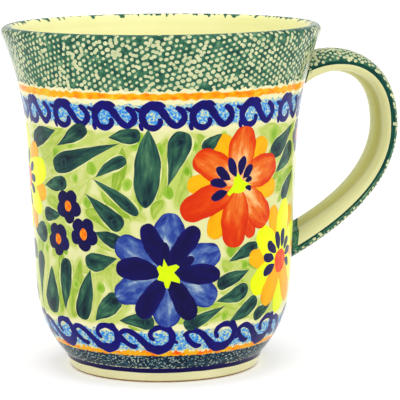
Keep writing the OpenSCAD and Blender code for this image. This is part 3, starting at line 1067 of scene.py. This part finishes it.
def washOver(spots):  # how wet the lime is at each point, from 0 to 1
    turns = (np.degrees(np.arctan2(spots[:, 1], spots[:, 0])) - paintTurn + 180) % 360 - 180
    places = np.c_[turns * flatScale, spots[:, 2]]
    wash = np.full(len(spots), groundWash["everywhere"])
    gap, reach = groundWash["gapTurn"], groundWash["gapHalf"]
    for turn in garden["turns"] + [gap]:
        for a, b, w in scene["washes"]:
            if turn == gap and abs(a[0] + b[0]) / 2 >= reach:
                continue
            over = softStroke(places, moved(a, turn), moved(b, turn), w)
            wash = 1 - (1 - wash) * (1 - groundWash["stroke"] * over)
        right, rise = groundWash["leafShift"]
        for a, b, w, _ in scene["leaves"]:
            start, end = ((p[0] + turn + right, p[1] + rise) for p in (a, b))
            over = softStroke(places, start, end, w + groundWash["leafWider"])
            wash = 1 - (1 - wash) * (1 - groundWash["leaf"] * over)
    low, high, fade = groundWash["edges"]
    return wash * np.clip((spots[:, 2] - low) / fade, 0, 1) * np.clip((high - spots[:, 2]) / fade, 0, 1)


points, faces = spin(outsideLine(0, True) + outsideLine(-cup["glaze"], False)[::-1])
toPiece("outerCoat", toMesh("outerCoat", points, faces, {"wash": washOver(np.array(points))}), coatPaint(),
        ["outer_glaze"])
print("outer coat glazed")

# The strap handle, swept along the CAD model's middle line.
strap = {
    "upper": [(48.5, 93.0), (60.5, 100.0), (79.0, 96.5), (79.0, 75.0)],
    "lower": [(79.0, 75.0), (79.0, 60.5), (66.5, 46.5), (41.0, 34.7)],
    "width": (14.0, 16.4, 16.0),
    "crown": (5.6, 3.7, 3.8),
    "belly": (3.9, 3.2, 5.8),
    "groove": 1.2,
    "grooveWidth": 2.6,
    "grooveMiddle": -2.0,
    "run": 25.0,  # millimetres past an end to a step of 1
    "stations": [0.0, 0.3, 1.0, 1.5, 2.0],  # the green lines, and the angles of their two edges
    "lineLow": [8.0, -3.0, -15.0, -7.0, -4.0],
    "lineHigh": [20.0, 10.0, 9.0, 3.5, 2.5],
    "sides": 72,
    "rings": 150,
    "rootDepth": 1.5,  # how deep the two ends stand in the wall
    # these widths also set how far the painted shade in the groove spreads
    "pool": (2.8, 1.7),  # how far the yellow spreads to the two sides of the groove
}


def blendOf(values, s):
    a, b, c = values
    if s < 1:
        return a + (b - a) * math.sin(math.radians(90 * max(s, 0)))
    return b + (c - b) * (1 - math.cos(math.radians(90 * min(s - 1, 1))))


def strapLine(s):
    # a place on the middle line and its heading, s from 0 at the top joint to 2 at the bottom one
    pts = np.array(strap["upper"] if s < 1 else strap["lower"])
    t = min(max(s if s < 1 else s - 1, 0.0), 1.0)
    u = 1 - t
    place = u ** 3 * pts[0] + 3 * u * u * t * pts[1] + 3 * u * t * t * pts[2] + t ** 3 * pts[3]
    head = u * u * (pts[1] - pts[0]) + 2 * u * t * (pts[2] - pts[1]) + t * t * (pts[3] - pts[2])
    head = head / np.linalg.norm(head)
    past = min(s, 0) + max(s - 2, 0)  # beyond an end the strap runs straight on
    return place + head * past * strap["run"], head


def strapPoint(s, angle, lift):
    place, head = strapLine(s)
    a = math.radians(angle)
    width, crown, belly = (blendOf(strap[k], s) for k in ("width", "crown", "belly"))
    rise = crown if math.sin(a) > 0 else belly
    y = (width / 2) * math.cos(a)
    dip = 0.0
    if math.sin(a) < 0:
        dip = strap["groove"] * math.exp(-((y - strap["grooveMiddle"]) / strap["grooveWidth"]) ** 2)
    n = rise * math.sin(a) + dip * abs(math.sin(a))
    away = np.array([math.cos(a) * rise, math.sin(a) * width / 2])
    away = away / np.linalg.norm(away)
    y += lift * away[0]
    n += lift * away[1]
    return (place[0] - head[1] * n, y, place[1] + head[0] * n)


def wallGap(s, angle):
    x, y, z = strapPoint(s, angle, 0)
    return math.hypot(x, y) - wallAt(z)[0]


def contact(joint, angle, deep=0.0):
    # the place along the strap where this line of its skin goes into the wall, or is this deep in it
    outside, inside = (0.35, -0.2) if joint == 0 else (1.6, 2.2)
    for _ in range(40):
        middle = (outside + inside) / 2
        if wallGap(middle, angle) > -deep:
            outside = middle
        else:
            inside = middle
    return (outside + inside) / 2


def strapShell(sheet, edges, columns, lift, stations, tone):
    # edges gives the two section angles between which the strap is covered, at each station
    rows = [[(s, a) for a in np.linspace(*edges(s), columns + 1)] for s in stations]
    addShell(sheet, strapPoint, rows, lift, even(len(stations) - 1), even(columns), tone)


def lineEdges(s):
    return [np.interp(s, strap["stations"], strap[key]) for key in ("lineLow", "lineHigh")]


# the tone is partly glaze pooled in the groove and partly painted shade there
def poolAndShadeTone(y):  # how much glaze has gathered at this place across the groove
    off = y - strap["grooveMiddle"]
    return math.exp(-(off / strap["pool"][0 if off > 0 else 1]) ** 2)


sides, rings = strap["sides"], strap["rings"]
deep = strap["rootDepth"]
strapEnds = [[contact(joint, 360 * j / sides, deep) for joint in (0, 1)] for j in range(sides)]
strapSheet = startSheet()
for share in even(rings - 1):
    ring = [strapPoint(a + (b - a) * share, 360 * j / sides, 0) for j, (a, b) in enumerate(strapEnds)]
    strapSheet["points"] += ring
    strapSheet["along"] += [share] * sides
    strapSheet["across"] += [j / sides for j in range(sides)]
    # the inner face carries the pooled glaze and the painted groove shade as its tone
    strapSheet["tone"] += [poolAndShadeTone(ring[j][1]) if j > sides / 2 else 0.0 for j in range(sides)]
for i in range(rings - 1):
    for j in range(sides):
        k = (j + 1) % sides
        strapSheet["faces"].append([i * sides + j, (i + 1) * sides + j, (i + 1) * sides + k, i * sides + k])
strapSheet["faces"] += [list(range(sides)), list(range((rings - 1) * sides, rings * sides))]
sheetPiece("handleStrap", strapSheet, "handleGlaze", ["handle"])

fineStations = np.linspace(0.0, 2.0, 130)
crownSheet = startSheet()
strapShell(crownSheet, lambda s: (lineEdges(s)[1] - 3, 183 - lineEdges(s)[1]), 24, 0.015, fineStations, 0.5)
sheetPiece("handleSponge", crownSheet, "spongeGreen")
lineSheet = startSheet()
strapShell(lineSheet, lineEdges, 4, 0.03, fineStations, 0.5)
strapShell(lineSheet, lambda s: [180 - a for a in lineEdges(s)], 4, 0.03, fineStations, 0.3)
sheetPiece("handleLines", lineSheet, "edgeGreen")
print("handle made")


# Slip collars: a small fillet of clay where each end of the strap meets the wall, painted green.
collar = {"onStrap": 1.6, "onWall": 1.5, "steps": 7, "around": 96, "lift": 0.03, "hollow": 0.15}
# The painted line round each end of the strap runs out to a slanting edge, set by shares of x and y.
jointBand = {"slant": (0.94, 0.342), "slantEnd": 3.0, "uneven": 0.15, "lift": 0.045, "overlap": 0.02,
             "rows": 7}


def addCollar(sheet, joint):
    grid = []
    heart = np.mean([strapPoint(contact(joint, a), a, 0) for a in range(0, 360, 15)], axis=0)
    for j in range(collar["around"]):
        angle = 360 * j / collar["around"]
        s = contact(joint, angle)
        root = np.array(strapPoint(s, angle, 0))
        step = 0.02 if joint == 0 else -0.02
        scale = math.dist(strapPoint(s + step, angle, 0), root) / step  # millimetres to a step of 1
        onStrap = np.array(strapPoint(s + collar["onStrap"] / scale, angle, collar["lift"]))
        spread = root - heart
        spread[0] = 0
        spread /= np.linalg.norm(spread)
        target = root + spread * collar["onWall"]
        turn = math.degrees(math.atan2(target[1], target[0])) - paintTurn
        onWall = np.array(wallPoint(turn, target[2], collar["lift"]))
        under = root - (onStrap + onWall - 2 * root) * collar["hollow"]
        shares = even(collar["steps"] - 1)
        ring = [(1 - t) ** 2 * onStrap + 2 * (1 - t) * t * root + t * t * onWall for t in shares]
        grid.append([tuple(p) for p in ring + [under]])
    addGrid(sheet, grid, even(collar["around"] - 1), list(shares) + [0.5], 0.4, True, True)


def addJointBand(sheet, joint, margin):
    # a brushed line round the end of the strap
    grid = []
    alongX, alongY = jointBand["slant"]
    for j in range(collar["around"]):
        angle = 360 * j / collar["around"]
        inner = contact(joint, angle)
        far, near = (0.6, inner) if joint == 0 else (1.3, inner)
        for _ in range(30):
            s = (far + near) / 2
            x, y, z = strapPoint(s, angle, 0)
            reach = alongX * x - alongY * min(y, jointBand["slantEnd"]) - wallAt(z)[0]
            if reach > margin + jointBand["uneven"] * math.sin(math.radians(angle) * 5 + joint):
                far = s
            else:
                near = s
        inner += jointBand["overlap"] if joint == 0 else -jointBand["overlap"]
        grid.append([(s, angle) for s in np.linspace(inner, s, jointBand["rows"] + 1)])
    along = [0.5 + 0.5 * math.sin(0.2 * j) for j in range(collar["around"])]
    addShell(sheet, strapPoint, grid, jointBand["lift"], along, even(jointBand["rows"]), 0.5, True)


joints = (("upper", 1.6, "edgeGreen"), ("lower", 2.8, "jointGreen"))  # margin and paint of each line
for joint, (end, margin, paint) in enumerate(joints):
    sheet = startSheet()
    addJointBand(sheet, joint, margin)
    sheetPiece(end + "JointLine", sheet, paint)
for joint, (end, *_) in enumerate(joints):
    sheet = startSheet()
    addCollar(sheet, joint)
    sheetPiece(end + "Collar", sheet, "edgeGreen", [end + "_joint_slip"])
print("collars made")


# Sponge dots: places and sizes are laid out here, and one set of geometry nodes stamps the dots.
def stampTree():
    tree = bpy.data.node_groups.new("spongeDots", "GeometryNodeTree")
    face = tree.interface
    face.new_socket("Geometry", in_out="INPUT", socket_type="NodeSocketGeometry")
    sizes = {"Dot radius": ("Float", 0.0007), "Dot depth": ("Float", 0.000016), "Turning": ("Float", 0.5),
             "Seed": ("Int", 1)}
    for label, (kind, start) in sizes.items():
        face.new_socket(label, in_out="INPUT", socket_type="NodeSocket" + kind).default_value = start
    face.new_socket("Paint", in_out="INPUT", socket_type="NodeSocketMaterial")
    face.new_socket("Geometry", in_out="OUTPUT", socket_type="NodeSocketGeometry")
    given = addNode(tree, "NodeGroupInput").outputs
    dot = addNode(tree, "GeometryNodeMeshCylinder",
                  {"Vertices": 9, "Radius": given["Dot radius"], "Depth": given["Dot depth"]})
    facing, size = (addNode(tree, "GeometryNodeInputNamedAttribute", {"Name": name}, data_type="FLOAT_VECTOR")
                    for name in ("facing", "dotSize"))
    aim = addNode(tree, "FunctionNodeAlignEulerToVector", {"Vector": facing.outputs[0]}, axis="Z")
    placed = addNode(tree, "GeometryNodeInstanceOnPoints",
                     {"Points": given["Geometry"], "Instance": dot.outputs["Mesh"],
                      "Rotation": aim.outputs[0], "Scale": size.outputs[0]})
    twist = addNode(tree, "FunctionNodeRandomValue", {"Seed": given["Seed"]}, data_type="FLOAT")
    tree.links.new(times(tree, given["Turning"], -1.0), twist.inputs[2])
    tree.links.new(given["Turning"], twist.inputs[3])
    spunBy = combine(tree, 0.0, 0.0, twist.outputs[1])
    spun = addNode(tree, "GeometryNodeRotateInstances",
                   {"Instances": placed.outputs[0], "Rotation": spunBy})
    real = addNode(tree, "GeometryNodeRealizeInstances", {"Geometry": spun.outputs[0]})
    done = addNode(tree, "GeometryNodeSetMaterial",
                   {"Geometry": real.outputs[0], "Material": given["Paint"]})
    tree.links.new(done.outputs[0], addNode(tree, "NodeGroupOutput").inputs[0])
    return tree


def spongeSpots(run, low, high, pitch, patch, loose=0.12, joined=0.14, missed=0.03):
    # each press of the sponge leaves its own little honeycomb of dots; some run together and some fail
    spots = []
    presses = max(1, round(run / patch))
    width = run / presses
    for k in range(presses):
        twist = rng.uniform(-0.5, 0.5)
        shift = rng.uniform(0, pitch, 2)
        span = int((width + high - low) / pitch) + 2
        for i in range(-span, span):
            for j in range(-span, span):
                x, y = (i + 0.5 * (j % 2)) * pitch, j * pitch * 0.866
                x, y = (x * math.cos(twist) - y * math.sin(twist) + shift[0],
                        x * math.sin(twist) + y * math.cos(twist) + shift[1])
                if abs(x) > width / 2 or abs(y) > (high - low) / 2:
                    continue
                x += (k + 0.5) * width + rng.normal(0, loose)
                y += (low + high) / 2 + rng.normal(0, loose)
                if rng.uniform() < missed:
                    continue
                swell = 0.92 + 0.42 * noise.noise(Vector((x * 0.16, y * 0.2, k)))
                spots.append((x, y, swell))
                if rng.uniform() < joined * (swell > 0.9) * 2:
                    a, half = rng.uniform(0, 2 * math.pi), pitch / 2
                    spots.append((x + half * math.cos(a), y + half * math.sin(a), swell * 0.9))
    return spots


dotLift = 0.026


def stampDots(name, place, spots, settings, stretch):
    # place turns a spot's two flat coordinates and a lift into a point on the surface
    points, facing, sizes = [], [], []
    for x, y, swell in spots:
        at, above = (np.array(place(x, y, lift)) for lift in (dotLift, dotLift + 1))
        points.append(tuple(at * mm))
        facing += list(above - at)
        sizes += [swell * rng.uniform(*stretch), swell * rng.uniform(0.8, 1.05), 1.0]
    mesh = bpy.data.meshes.new(name + "Spots")
    mesh.from_pydata(points, [], [])
    mesh.attributes.new("facing", "FLOAT_VECTOR", "POINT").data.foreach_set("vector", facing)
    mesh.attributes.new("dotSize", "FLOAT_VECTOR", "POINT").data.foreach_set("vector", sizes)
    ground = bpy.data.objects.new(name + "Spots", mesh)
    bpy.context.scene.collection.objects.link(ground)
    nodes = ground.modifiers.new("dots", "NODES")
    nodes.node_group = stamp
    keys = {item.name: item.identifier for item in stamp.interface.items_tree if item.in_out == "INPUT"}
    for label, number in settings.items():
        nodes[keys[label]] = number
    shape = ground.evaluated_get(bpy.context.evaluated_depsgraph_get())
    dots = bpy.data.meshes.new_from_object(shape)
    dots.name = name
    ground.modifiers.remove(nodes)
    bpy.data.objects.remove(ground)
    dots.shade_flat()
    toPiece(name, dots, settings["Paint"])
    print(name, len(spots), "dots,", len(dots.polygons), "faces")


# The crown is measured out in millimetres, x along the strap and y across it.
crownAlong = np.linspace(0.02, 1.98, 120)
crownRun = np.r_[0, np.cumsum([math.dist(strapPoint(a, 90, 0), strapPoint(b, 90, 0))
                               for a, b in zip(crownAlong, crownAlong[1:])])]
crownAngles = np.linspace(0, 180, 61)
crownSpread = np.r_[0, np.cumsum([math.dist(strapPoint(1, a, 0), strapPoint(1, b, 0))
                                  for a, b in zip(crownAngles, crownAngles[1:])])]


def crownPoint(x, y, lift):
    return strapPoint(np.interp(x, crownRun, crownAlong), np.interp(y, crownSpread, crownAngles), lift)


def onRim(x, y, lift):
    return rimPoint(x * rimTurn, y, lift)


def onFoot(x, y, lift):
    return wallPoint(x * footTurn, y, lift)


rimTurn, footTurn = (360 / (2 * math.pi * radius) for radius in (47.5, 33.5))  # degrees to a millimetre
# Each band of dots: where it goes and its slot; its run, its two edges, the pitch of the dots and the width
# of a press; what sets its sponge apart; the inputs of the nodes; the paint; and how stretched a dot is.
dotBands = {
    "rimDots": (onRim, "painted_glaze", (360 / rimTurn, 94.0, crest - 1.2, 1.92, 26.0), {},
                {"Dot radius": 0.00065, "Seed": 3}, "dotCream", (0.95, 1.25)),
    "lipDots": (onRim, "painted_glaze", (360 / rimTurn, crest - 1.5, crest - 0.2, 2.3, 26.0),
                {"missed": 0.6, "joined": 0}, {"Dot radius": 0.00026, "Turning": 0.1, "Seed": 4},
                "dotCream", (2.0, 3.4)),
    "footDots": (onFoot, "painted_glaze", (360 / footTurn, 5.3, 9.7, 1.15, 20.0),
                 {"loose": 0.22, "joined": 0.15, "missed": 0.15},
                 {"Dot radius": 0.00019, "Turning": 1.6, "Seed": 5}, "fleckPale", (1.2, 3.0)),
    "handleDots": (crownPoint, "handle_glaze", (crownRun[-1], 0.9, crownSpread[-1] - 0.9, 1.72, 30.0),
                   {"joined": 0.16}, {"Dot radius": 0.00062, "Seed": 9}, "dotCream", (0.95, 1.3)),
}
stamp = stampTree()
for name, (place, slot, size, sponge, inputs, paint, stretch) in dotBands.items():
    stampDots(name, place, spongeSpots(*size, **sponge), {**inputs, "Paint": paints[paint]}, stretch)
print("sponge dots stamped")

# Camera, light and floor.
view = {
    "turn": -110.0,
    "distance": 714.0,
    "height": 160.8,
    "yaw": 0.97,
    "pitch": 8.55,
    "roll": 0.41,
    "lens": 200.0,
}


studio = {
    "sky": 0.9,
    "key": 1.15,
    "keyFrom": (-0.02, -0.38, 1.0),
    "keySpread": 80,
    "floorSize": 4,
    "floorColour": (0.96, 0.96, 0.955, 1),
    "floorRoughness": 0.8,
    "floorGlow": 0.2,
}
white = (1, 1, 1, 1)


def placeCamera():
    turn = math.radians(view["turn"])
    eye = Vector((math.cos(turn), math.sin(turn), 0)) * view["distance"] * mm
    eye.z = view["height"] * mm
    yaw = math.radians(view["turn"] + 180 - view["yaw"])
    pitch = math.radians(view["pitch"])
    look = Vector((math.cos(yaw) * math.cos(pitch), math.sin(yaw) * math.cos(pitch), -math.sin(pitch)))
    camera = bpy.data.objects.new("camera", bpy.data.cameras.new("camera"))
    camera.data.lens = view["lens"]
    camera.data.sensor_width = 36
    camera.data.clip_start = 0.01
    roll = Matrix.Rotation(math.radians(view["roll"]), 4, look)
    aim = look.to_track_quat("-Z", "Y").to_matrix().to_4x4()
    camera.matrix_world = Matrix.Translation(eye) @ roll @ aim
    bpy.context.scene.collection.objects.link(camera)
    bpy.context.scene.camera = camera


def addLamp():
    # a broad soft light, as from a big paper screen
    lamp = bpy.data.lights.new("softKey", "SUN")
    lamp.energy = studio["key"]
    lamp.angle = math.radians(studio["keySpread"])
    holder = bpy.data.objects.new("softKey", lamp)
    holder.rotation_euler = (-Vector(studio["keyFrom"])).to_track_quat("-Z", "Y").to_euler()
    bpy.context.scene.collection.objects.link(holder)


def makeStudio():
    world = bpy.data.worlds.new("studio")
    world.use_nodes = True
    sky = world.node_tree.nodes["Background"]
    sky.inputs["Color"].default_value = white
    sky.inputs["Strength"].default_value = studio["sky"]
    bpy.context.scene.world = world
    bpy.context.scene.view_settings.view_transform = "Standard"
    addLamp()
    mesh = bpy.data.meshes.new("floor")
    side = studio["floorSize"]
    corners = [(-side, -side, 0), (side, -side, 0), (side, side, 0), (-side, side, 0)]
    mesh.from_pydata(corners, [], [(0, 1, 2, 3)])
    ground = bpy.data.objects.new("floor", mesh)
    bpy.context.scene.collection.objects.link(ground)
    paper = bpy.data.materials.new("floorPaper")
    paper.use_nodes = True
    skin = paper.node_tree.nodes["Principled BSDF"]
    skin.inputs["Base Color"].default_value = studio["floorColour"]
    skin.inputs["Roughness"].default_value = studio["floorRoughness"]
    skin.inputs["Emission Color"].default_value = white
    skin.inputs["Emission Strength"].default_value = studio["floorGlow"]
    mesh.materials.append(paper)


placeCamera()
makeStudio()
print("studio lit")
